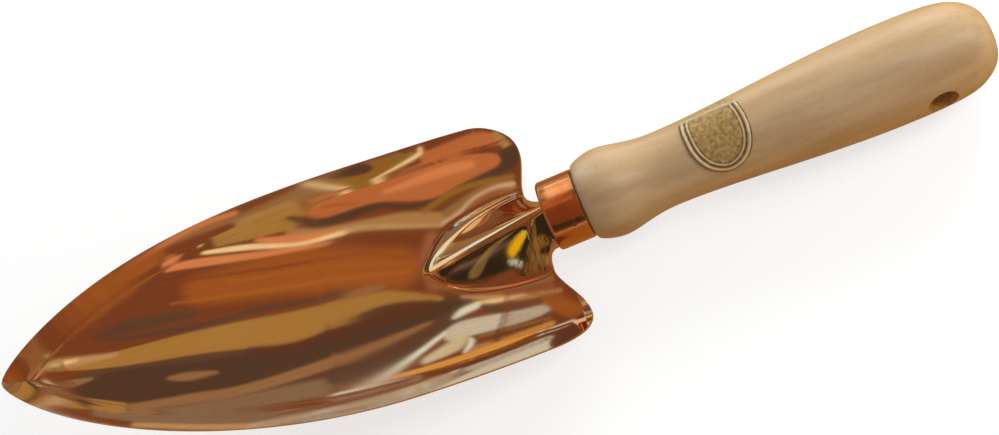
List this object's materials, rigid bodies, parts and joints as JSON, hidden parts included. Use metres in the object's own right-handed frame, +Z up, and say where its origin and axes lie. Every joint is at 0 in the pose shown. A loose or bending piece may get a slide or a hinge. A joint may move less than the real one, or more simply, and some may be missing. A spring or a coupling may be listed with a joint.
{
  "type": "garden trowel",
  "caption": "Hand trowel with a shallow pressed bronze blade, a ridged neck, a copper ferrule and a turned wooden handle with a hang hole.",
  "frame": {"origin": "centre of the small flat on the butt of the handle", "axes": "+X along the handle, out of its butt; +Z up, on the hollow side of the blade; +Y to the right of someone who holds the handle and looks toward the tip"},
  "size_m": [0.3074, 0.0828, 0.0507],
  "materials": {
    "blade": "mirror-polished bronze",
    "ferrule": "satin copper tube",
    "handle": "turned and lightly oiled beech",
    "ferrule_pin": "dull nail end",
    "badge": "pale embossed foil"
  },
  "bodies": {
    "root": {"blade": "blade", "ferrule": "ferrule", "handle": "handle", "ferrule_pin": "ferrule_pin", "badge": "badge"}
  },
  "joints": []
}
